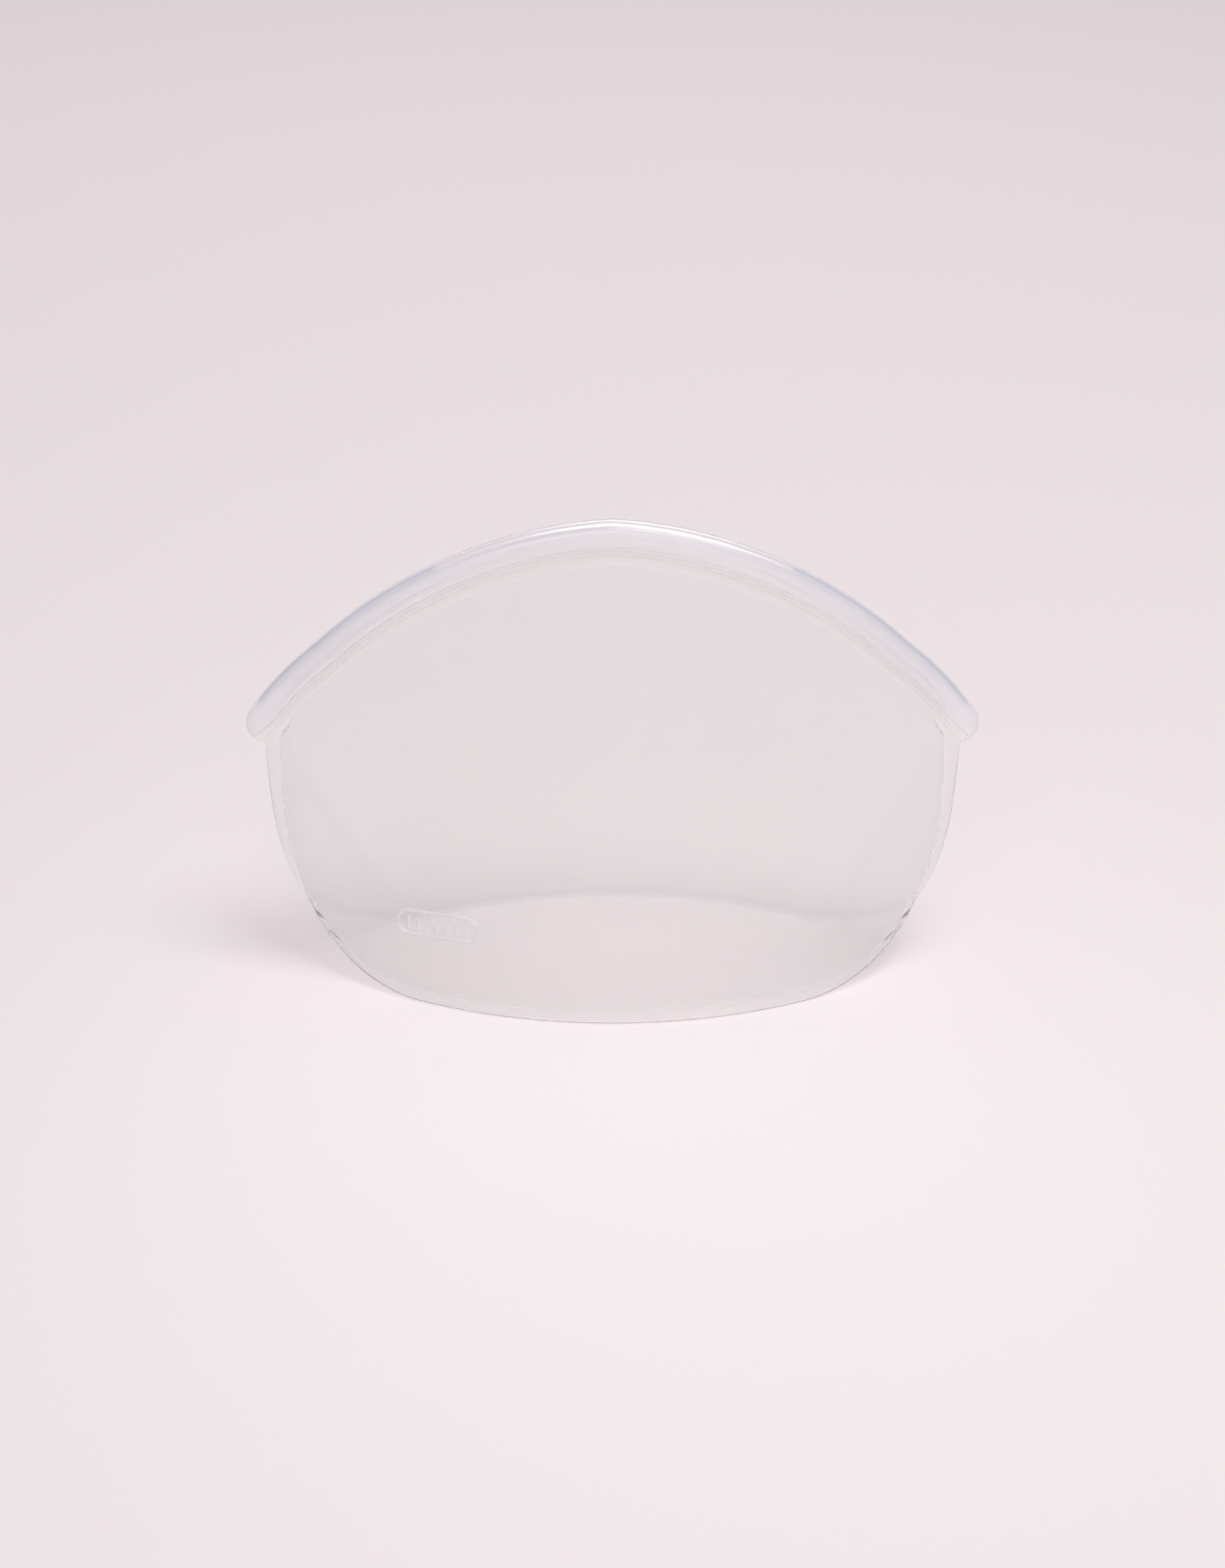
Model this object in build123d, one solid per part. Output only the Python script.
from build123d import *
import math
import os

# Reusable stand-up silicone bag, zipped shut and standing on its base.
# Millimetres. +Z up, X along the zip, Y through the bag, front wall towards -Y.
# Origin: bottom centre, in the plane that the base stands on.
# The real bag is one moulding. Each node below is one functional zone of it.

# ---- Base ----
BASE_HALF_LENGTH = 79.0      # from the middle to the pointed end of the plan outline
BASE_HALF_DEPTH = 38.0       # from the middle to the front or back edge
OUTLINE_POWER = 1.6          # fullness of the plan outline, between a lens and an ellipse
TIP_HALF_WIDTH = 0.4         # the outline's pointed ends are this blunt
BASE_THICKNESS = 2.6
FLAT_HALF_LENGTH = 50.0      # the base stands on the floor this far out
UPTURN_RADIUS = 34.0         # then both ends curl up on this radius

# ---- Arched mouth ----
ARCH_CENTRE_Z = 19.0
RAIL_OUTER_RADIUS = 105.0
RAIL_INNER_RADIUS = 97.0     # lower edge of the thick zip rail
SKIRT_INNER_RADIUS = 94.3    # lower edge of the step that runs into the wall
RAIL_HALF_ANGLE = 57.5       # from the top of the arch to each end of the rails
RAIL_HALF_THICKNESS = 4.0    # both rails pressed together are twice this
SKIRT_HALF_THICKNESS = 3.4
RAIL_EDGE_ROUND = 2.2
PARTING_GAP = 0.3            # between solids that move apart
END_GAP_ANGLE = 0.3          # the same at the rails' ends, in degrees

# ---- Zip profile ----
BEAD_RADIUS = 101.2          # middle of the pressed-in rib
BEAD_HEIGHT = 2.0
BEAD_REACH = 2.1             # how far the rib stands into the groove
BEAD_CLEARANCE = 0.3
GROOVE_FLOOR = BEAD_REACH + BEAD_CLEARANCE

# ---- Walls ----
WALL = 1.6
MOUTH_HALF_ANGLE = 62.5      # the walls' top edge runs on past the rails
MOUTH_RADIUS = 95.0
MOUTH_TIP_RISE = 6.5         # where it turns outwards to the end tabs
SIDE_SWELL = 5.0             # how the sides bow out between base and zip
SIDE_SWELL_FADE = 3.3
GUSSET_SWELL = 35.0          # how the gussets fill out between crease and side
CREASE_FOOT_X = 51.0         # the crease between wall and gusset, at the base
CREASE_HEAD_ANGLE = 57.0     # and at the zip
FOOT_OVERRUN = 0.04          # share of its height that a wall runs past the base, to be trimmed
MOUTH_OVERRUN = 0.02         # and past the mouth, for each millimetre that it is inset
WALL_BLOCK_DEPTH = 60.0
SURFACE_TOLERANCE = 0.01
SPANS_ALONG = 24
SPANS_UP = 8

# ---- End tabs ----
TAB_X = 89.4
TAB_Z = 68.0
TAB_RADIUS = 5.6
TAB_HALF_THICKNESS = 4.6
TAB_NECK_ANGLE = 61.5        # the neck joins both rails to the tab up to here
TAB_EDGE_ROUND = 1.5

# ---- Raised mark, low on the front wall ----
MARK_X = -45.0
MARK_Z = 21.0
MARK_LENGTH = 22.0
MARK_HEIGHT = 7.0
MARK_RELIEF = 0.5

FAR = 200.0                  # past everything


def base_rise(x):
    """Height of the base's underside at x: flat, then curled up."""
    past = max(abs(x) - FLAT_HALF_LENGTH, 0.0)
    return UPTURN_RADIUS - math.sqrt(UPTURN_RADIUS**2 - past**2)


def foot_point(s):
    """Plan outline of the base's back half: s runs from tip to tip, -1 to 1."""
    fullness = max(math.cos(math.pi / 2 * s), 0.0) ** OUTLINE_POWER
    x = BASE_HALF_LENGTH * math.sin(math.pi / 2 * s)
    return (x, TIP_HALF_WIDTH + (BASE_HALF_DEPTH - TIP_HALF_WIDTH) * fullness)


def wall_point(s, v, inset):
    """A point on the back wall's outer face, or inset from it: v runs from the base to the mouth."""
    foot_x, foot_y = foot_point(s)
    foot_x = foot_x * (1 - inset / BASE_HALF_LENGTH)
    foot_z = base_rise(foot_x)
    angle = math.radians(MOUTH_HALF_ANGLE) * s
    radius = MOUTH_RADIUS + MOUTH_TIP_RISE * s**8
    head_x = radius * math.sin(angle) * (1 - inset / MOUTH_RADIUS)
    head_y = TIP_HALF_WIDTH + (SKIRT_HALF_THICKNESS - TIP_HALF_WIDTH) * (1 - s**10)
    head_z = ARCH_CENTRE_Z + radius * math.cos(angle)
    swell = 4 * v * (1 - v)
    side_swell = swell * (SIDE_SWELL - SIDE_SWELL_FADE * v) * s**6 * math.copysign(1, s)
    gusset_swell = swell * GUSSET_SWELL * s**4 * (1 - s**2)
    x = foot_x + (head_x - foot_x) * v + side_swell
    y = foot_y + (head_y - foot_y) * v + gusset_swell - inset
    z = foot_z + (head_z - foot_z) * v
    return (x, y, z)


def arch_point(radius, angle):
    """X and Z at this radius and this angle from the top of the arch."""
    turn = math.radians(angle)
    return (radius * math.sin(turn), ARCH_CENTRE_Z + radius * math.cos(turn))


def largest(part):
    """The one solid that matters where a cut leaves crumbs."""
    return part.solids().sort_by(SortBy.VOLUME)[-1]


def front_of(part):
    """The same part on the front of the bag."""
    return part.mirror(Plane.XZ)


def through(sketch):
    """A prism along Y over a sketch in the XZ plane, through the whole bag."""
    return extrude(sketch, FAR, both=True)


def above_profile(radius):
    """Everything above the base's curled profile, drawn with this end radius, and above its ends."""
    with BuildSketch(Plane.XZ) as tub:
        with Locations((0, UPTURN_RADIUS)):
            SlotCenterToCenter(2 * FLAT_HALF_LENGTH, 2 * radius)
        with Locations((0, base_rise(BASE_HALF_LENGTH) + FAR / 2)):
            Rectangle(2 * FAR, FAR)
    return through(tub.sketch)


def wall_block(inset, overrun):
    """Everything in front of the back wall's outer face, or of that face moved in by inset."""
    rows = []
    height = 1 + overrun + MOUTH_OVERRUN * inset
    for j in range(SPANS_UP + 1):
        v = -overrun + height * j / SPANS_UP
        rows.append([wall_point(2 * i / SPANS_ALONG - 1, v, inset) for i in range(SPANS_ALONG + 1)])
    face = Face.make_surface_from_array_of_points(rows, tol=SURFACE_TOLERANCE)
    return Solid.extrude(face, Vector(0, -WALL_BLOCK_DEPTH, 0))


def back_sheet(outer, inner):
    """The back wall from tip to tip, between two insets from its outer face."""
    sheet = wall_block(outer, FOOT_OVERRUN) - wall_block(inner, 2 * FOOT_OVERRUN)
    return sheet & Pos(0, FAR / 2, 0) * Box(2 * FAR, FAR, 2 * FAR)


def panel_prism(inset):
    """The area between both creases, the base and the skirt, drawn in by inset."""
    foot_z = BASE_THICKNESS + PARTING_GAP / 2
    head_x, head_z = arch_point(SKIRT_INNER_RADIUS, CREASE_HEAD_ANGLE)
    with BuildSketch(Plane.XZ) as outline:
        with BuildLine():
            Line((-CREASE_FOOT_X, foot_z), (CREASE_FOOT_X, foot_z))
            Line((CREASE_FOOT_X, foot_z), (head_x, head_z))
            top = (0, ARCH_CENTRE_Z + SKIRT_INNER_RADIUS)
            ThreePointArc((head_x, head_z), top, (-head_x, head_z))
            Line((-head_x, head_z), (-CREASE_FOOT_X, foot_z))
        make_face()
    return through(offset(outline.sketch, -inset, kind=Kind.INTERSECTION))


def arch_strip(section, start, end, corner_round=0):
    """A section of (y, radius) points swept round the arch from start to end degrees."""
    turn = math.radians(start)
    plane = Plane(
        origin=(0, 0, ARCH_CENTRE_Z),
        x_dir=(0, 1, 0),
        z_dir=(math.cos(turn), 0, -math.sin(turn)),
    )
    face = make_face(Polyline(*section, close=True))
    if corner_round:
        upper = [c for c in face.vertices() if c.Y > BEAD_RADIUS]
        face = fillet([c for c in upper if abs(c.X) > SKIRT_HALF_THICKNESS], corner_round)
    axis = Axis((0, 0, ARCH_CENTRE_Z), (0, 1, 0))
    return revolve(plane * face, axis, end - start)


def rail_section():
    """Half of the closed zip: the skirt step at the bottom and the thick rail above it."""
    return [
        (PARTING_GAP / 2, SKIRT_INNER_RADIUS),
        (SKIRT_HALF_THICKNESS, SKIRT_INNER_RADIUS),
        (SKIRT_HALF_THICKNESS, RAIL_INNER_RADIUS),
        (RAIL_HALF_THICKNESS, RAIL_INNER_RADIUS),
        (RAIL_HALF_THICKNESS, RAIL_OUTER_RADIUS),
        (PARTING_GAP / 2, RAIL_OUTER_RADIUS),
    ]


def base_panel():
    """The base: a flat plate to the outline, and pointed ends that curl up inside the gussets."""
    rim = [foot_point(2 * i / SPANS_ALONG - 1) for i in range(SPANS_ALONG + 1)]
    back = Spline(*rim)
    front = Spline(*[(x, -y) for x, y in rim])
    ends = [Line(back @ k, front @ k) for k in (0, 1)]
    plan = extrude(make_face([back, front, *ends]), FAR)
    plate = above_profile(UPTURN_RADIUS) - above_profile(UPTURN_RADIUS - BASE_THICKNESS)
    inside = wall_block(WALL, 2 * FOOT_OVERRUN)
    middle = Box(2 * CREASE_FOOT_X, FAR, FAR)
    flat = plan & middle & plate
    curled = (inside & front_of(inside) & plate) - middle
    return largest(flat + curled)


def back_panel(sheet):
    """The wall between the creases, clear of the base and of both gussets."""
    return largest(sheet & panel_prism(PARTING_GAP / 2))


def right_gusset(sheet, tab):
    """The right end of both walls, joined along the side, up to the end tab."""
    start_x = CREASE_FOOT_X + PARTING_GAP / 2
    quarter = sheet & Pos(start_x + FAR / 2, 0, 0) * Box(FAR, 2 * FAR, 2 * FAR)
    quarter = quarter & above_profile(UPTURN_RADIUS)
    quarter = quarter - panel_prism(-PARTING_GAP / 2)
    past_rails = 2 * RAIL_HALF_THICKNESS
    section = [
        (-past_rails, SKIRT_INNER_RADIUS - PARTING_GAP),
        (past_rails, SKIRT_INNER_RADIUS - PARTING_GAP),
        (past_rails, RAIL_OUTER_RADIUS),
        (-past_rails, RAIL_OUTER_RADIUS),
    ]
    quarter = quarter - arch_strip(section, 0, RAIL_HALF_ANGLE + END_GAP_ANGLE)
    quarter = largest(quarter - tab)
    return largest(quarter + front_of(quarter))


def right_end_tab():
    """The tab where both rails run together: a short neck and a rounded button."""
    section = [
        (-RAIL_HALF_THICKNESS, SKIRT_INNER_RADIUS),
        (RAIL_HALF_THICKNESS, SKIRT_INNER_RADIUS),
        (RAIL_HALF_THICKNESS, RAIL_OUTER_RADIUS),
        (-RAIL_HALF_THICKNESS, RAIL_OUTER_RADIUS),
    ]
    neck = arch_strip(section, RAIL_HALF_ANGLE + END_GAP_ANGLE, TAB_NECK_ANGLE, RAIL_EDGE_ROUND)
    button = Rot(90, 0, 0) * Cylinder(TAB_RADIUS, 2 * TAB_HALF_THICKNESS)
    button = fillet(button.edges().filter_by(GeomType.CIRCLE), TAB_EDGE_ROUND)
    return largest(neck + Pos(TAB_X, 0, TAB_Z) * button)


def zip_rail_front():
    """The front rail: a solid strip, flat on its inner face."""
    strip = arch_strip(rail_section(), -RAIL_HALF_ANGLE, RAIL_HALF_ANGLE, RAIL_EDGE_ROUND)
    return front_of(strip)


def zip_bead():
    """The rib on the front rail that presses into the back rail's groove."""
    low = BEAD_RADIUS - BEAD_HEIGHT / 2
    high = BEAD_RADIUS + BEAD_HEIGHT / 2
    section = [
        (-PARTING_GAP / 2, low),
        (BEAD_REACH, low),
        (BEAD_REACH, high),
        (-PARTING_GAP / 2, high),
    ]
    return arch_strip(section, -RAIL_HALF_ANGLE, RAIL_HALF_ANGLE)


def zip_rail_back():
    """The back rail: the skirt step and the web behind the groove."""
    section = rail_section()[:-1] + [
        (GROOVE_FLOOR, RAIL_OUTER_RADIUS),
        (GROOVE_FLOOR, RAIL_INNER_RADIUS),
        (PARTING_GAP / 2, RAIL_INNER_RADIUS),
    ]
    return arch_strip(section, -RAIL_HALF_ANGLE, RAIL_HALF_ANGLE)


def zip_lip(low, high):
    """One side of the groove, standing on the back rail's web."""
    section = [
        (PARTING_GAP / 2, low),
        (GROOVE_FLOOR, low),
        (GROOVE_FLOOR, high),
        (PARTING_GAP / 2, high),
    ]
    return arch_strip(section, -RAIL_HALF_ANGLE, RAIL_HALF_ANGLE)


def raised_mark():
    """A plain oblong standing a little proud of the front wall."""
    with BuildSketch(Plane.XZ) as oblong:
        with Locations((MARK_X, MARK_Z)):
            SlotOverall(MARK_LENGTH, MARK_HEIGHT)
    prism = extrude(oblong.sketch, -BASE_HALF_DEPTH)
    pad = prism & wall_block(-MARK_RELIEF, FOOT_OVERRUN)
    return largest(front_of(pad - wall_block(0, FOOT_OVERRUN)))


def build_nodes():
    """Every node by name."""
    sheet = back_sheet(0, WALL)
    right_tab = right_end_tab()
    gusset = right_gusset(sheet, right_tab)
    back = back_panel(sheet)
    bead_low = BEAD_RADIUS - BEAD_HEIGHT / 2 - BEAD_CLEARANCE
    bead_high = BEAD_RADIUS + BEAD_HEIGHT / 2 + BEAD_CLEARANCE
    return {
        "base_panel": base_panel(),
        "right_gusset": gusset,
        "left_gusset": gusset.mirror(Plane.YZ),
        "right_end_tab": right_tab,
        "left_end_tab": right_tab.mirror(Plane.YZ),
        "front_panel": front_of(back),
        "front_zip_rail": zip_rail_front(),
        "front_zip_bead": zip_bead(),
        "raised_mark": raised_mark(),
        "back_panel": back,
        "back_zip_rail": zip_rail_back(),
        "back_zip_lower_lip": zip_lip(RAIL_INNER_RADIUS, bead_low),
        "back_zip_upper_lip": zip_lip(bead_high, RAIL_OUTER_RADIUS),
    }


os.makedirs("parts", exist_ok=True)
for name, solid in build_nodes().items():
    export_step(solid, f"parts/{name}.step")
